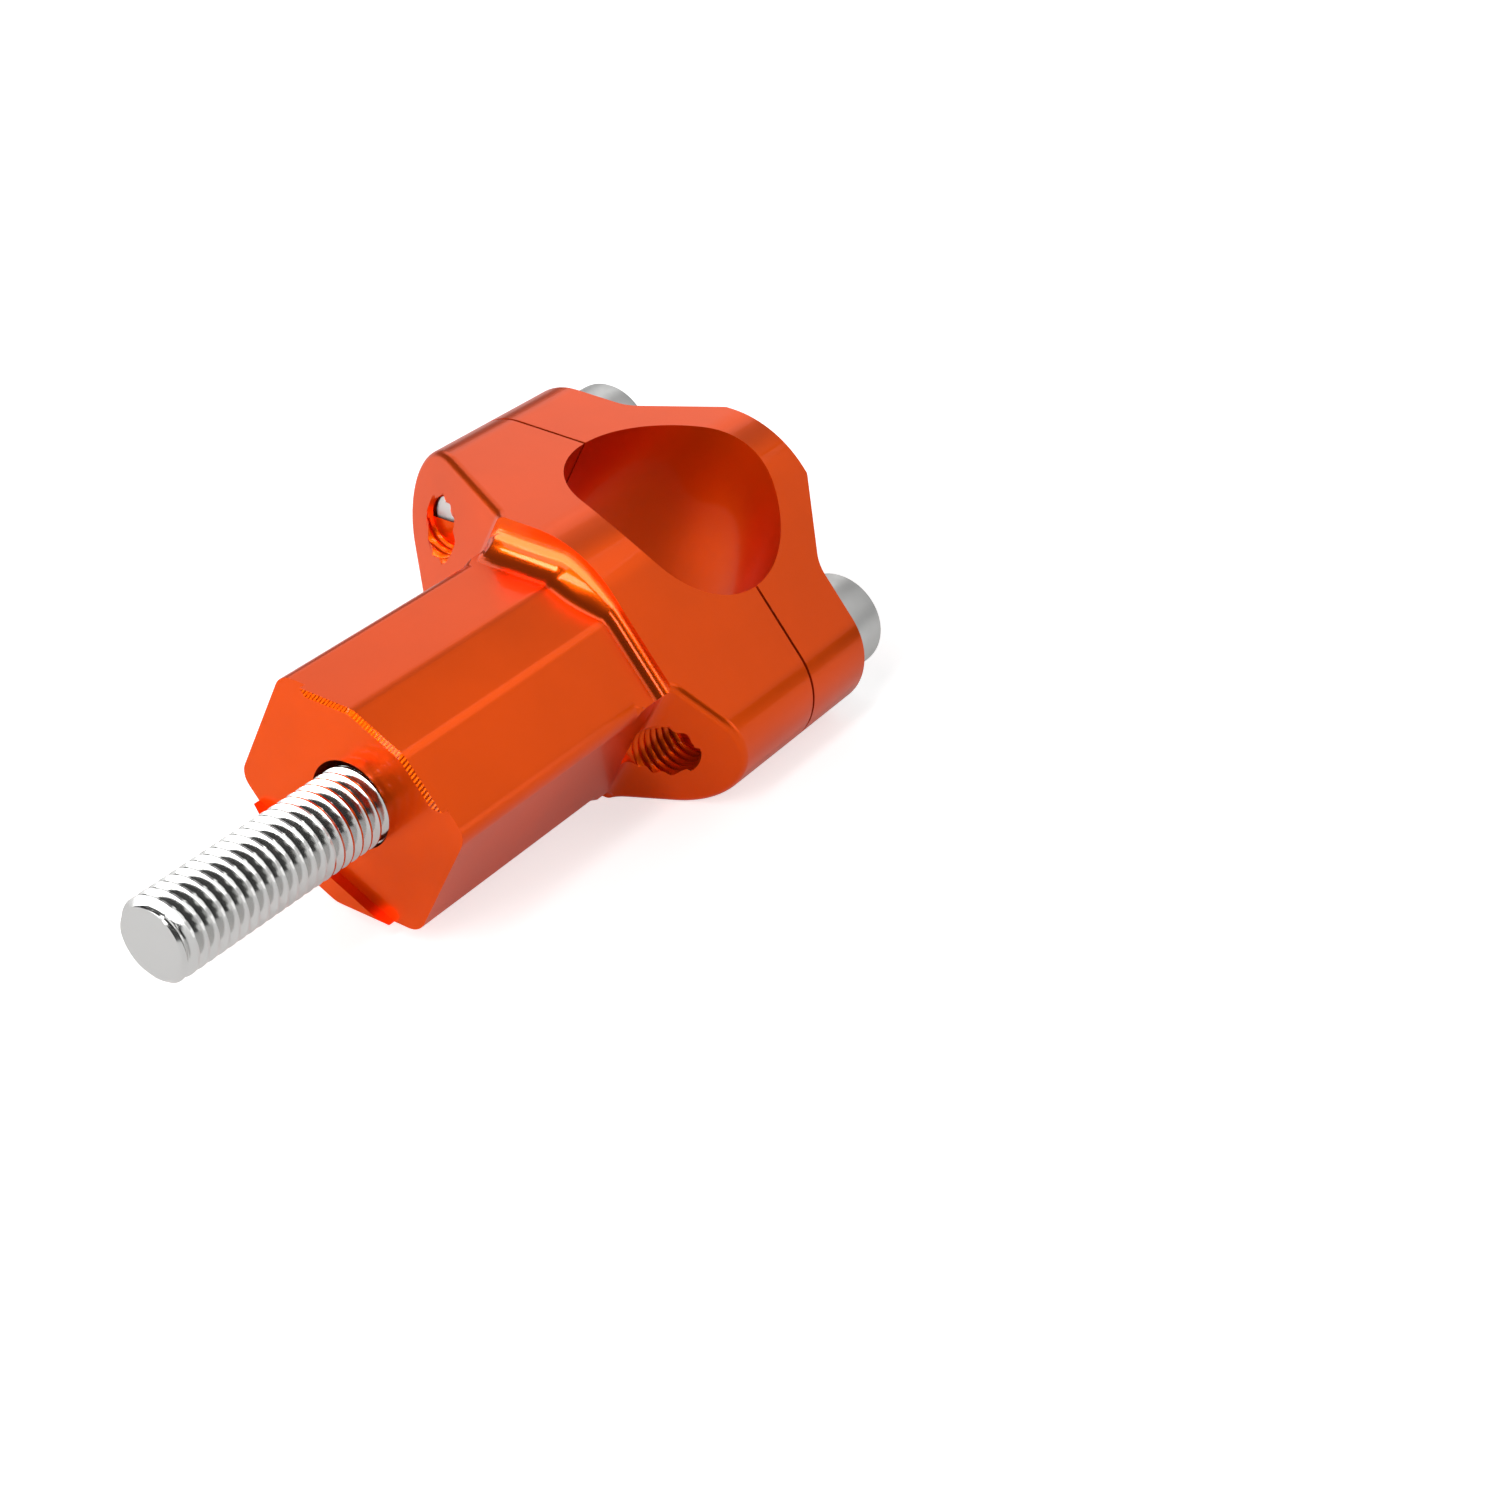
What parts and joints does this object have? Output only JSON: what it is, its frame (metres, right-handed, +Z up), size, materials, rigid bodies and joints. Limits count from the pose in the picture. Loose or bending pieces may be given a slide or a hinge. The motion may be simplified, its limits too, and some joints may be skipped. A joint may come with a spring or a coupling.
{
  "type": "motorcycle bar riser",
  "caption": "Handlebar riser: a faceted post with a split clamp for the bar, its cap held by socket screws, and a through bolt below.",
  "frame": {"origin": "centre of the bar's bore, on the split between body and cap", "axes": "-Y along the mounting bolt, away from the bar; +Y towards the clamp cap; +Z up, with the riser lying on the back facet of its head; the bore's axis leans about 24 degrees from +Z towards +X"},
  "size_m": [0.0542, 0.1104, 0.0336],
  "materials": {
    "anodised_aluminium": "satin orange anodising",
    "plated_steel": "bright zinc plating"
  },
  "bodies": {
    "root": {"riser_body": "anodised_aluminium", "clamp_cap": "anodised_aluminium", "cap_bolt_left": "plated_steel", "cap_bolt_right": "plated_steel", "mounting_bolt": "plated_steel"}
  },
  "joints": []
}
